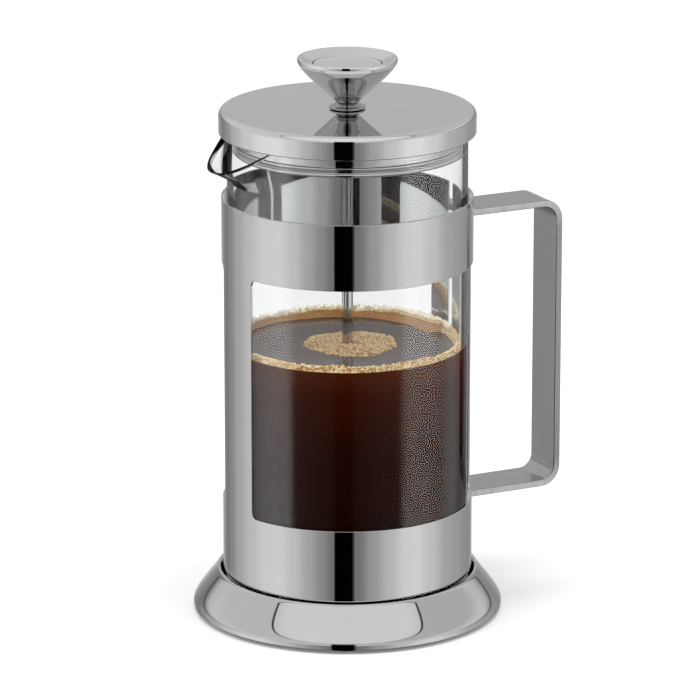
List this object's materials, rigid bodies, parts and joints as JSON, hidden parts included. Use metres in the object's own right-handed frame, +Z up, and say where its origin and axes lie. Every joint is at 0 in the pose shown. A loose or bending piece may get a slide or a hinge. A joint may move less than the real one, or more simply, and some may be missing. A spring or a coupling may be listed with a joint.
{
  "type": "french press",
  "caption": "Glass beaker in a polished steel frame with a flat-bar handle, a lid and a plunger that pushes a mesh filter down through coffee.",
  "frame": {"origin": "on the axis of the beaker, at the flat underside of the base pad, where the press stands", "axes": "+Z up along the plunger rod, +X towards the handle, -X towards the spout"},
  "size_m": [0.1546, 0.1246, 0.2271],
  "materials": {
    "polished_sleeve": "mirror-polished stainless sheet",
    "polished_foot": "mirror-polished spun stainless",
    "polished_lid": "mirror-polished spun stainless",
    "polished_knob": "mirror-polished stainless",
    "polished_rod": "polished drawn rod",
    "satin_handle": "satin along the bar",
    "plain_steel": "plain mill finish",
    "filter_steel": "bright stamped stainless",
    "filter_mesh": "fine woven stainless cloth",
    "beaker_glass": "clear borosilicate glass",
    "black_plastic": "moulded, fine texture",
    "rubber_pad": "matt",
    "silicone": "translucent matt"
  },
  "bodies": {
    "frame": {"frame_sleeve": "polished_sleeve", "handle": "satin_handle", "foot_ring": "polished_foot", "base_insert": "black_plastic", "floor_plate": "plain_steel", "base_pad": "rubber_pad", "glass_cushion": "silicone", "base_screw_1": "plain_steel", "base_screw_2": "plain_steel", "base_screw_3": "plain_steel"},
    "beaker": {"glass_beaker": "beaker_glass"},
    "guide": {"lid_bushing": "polished_knob", "bushing_washer": "plain_steel", "bushing_nut": "plain_steel"},
    "lid": {"lid_shell": "polished_lid", "lid_liner": "black_plastic", "lid_pan": "polished_lid"},
    "plunger": {"plunger_rod": "polished_rod", "knob_shell": "polished_knob", "knob_cap": "polished_knob", "knob_core": "black_plastic", "rod_collar": "plain_steel", "press_plate": "filter_steel", "filter_spring": "filter_steel", "mesh_filter": "filter_mesh", "cross_plate": "filter_steel", "hub_nut": "filter_steel"}
  },
  "joints": [
    {"name": "beaker_lift", "type": "slide", "parent": "frame", "child": "beaker", "axis": [0, 0, 1], "range_m": [0, 0.165]},
    {"name": "lid_lift", "type": "slide", "parent": "beaker", "child": "guide", "axis": [0, 0, 1], "range_m": [0, 0.19]},
    {"name": "lid_turn", "type": "hinge", "parent": "guide", "child": "lid", "pos_m": [0, 0, 0.2065], "axis": [0, 0, 1], "continuous": true},
    {"name": "plunge", "type": "slide", "parent": "guide", "child": "plunger", "axis": [0, 0, 1], "range_m": [0, 0.15]}
  ]
}
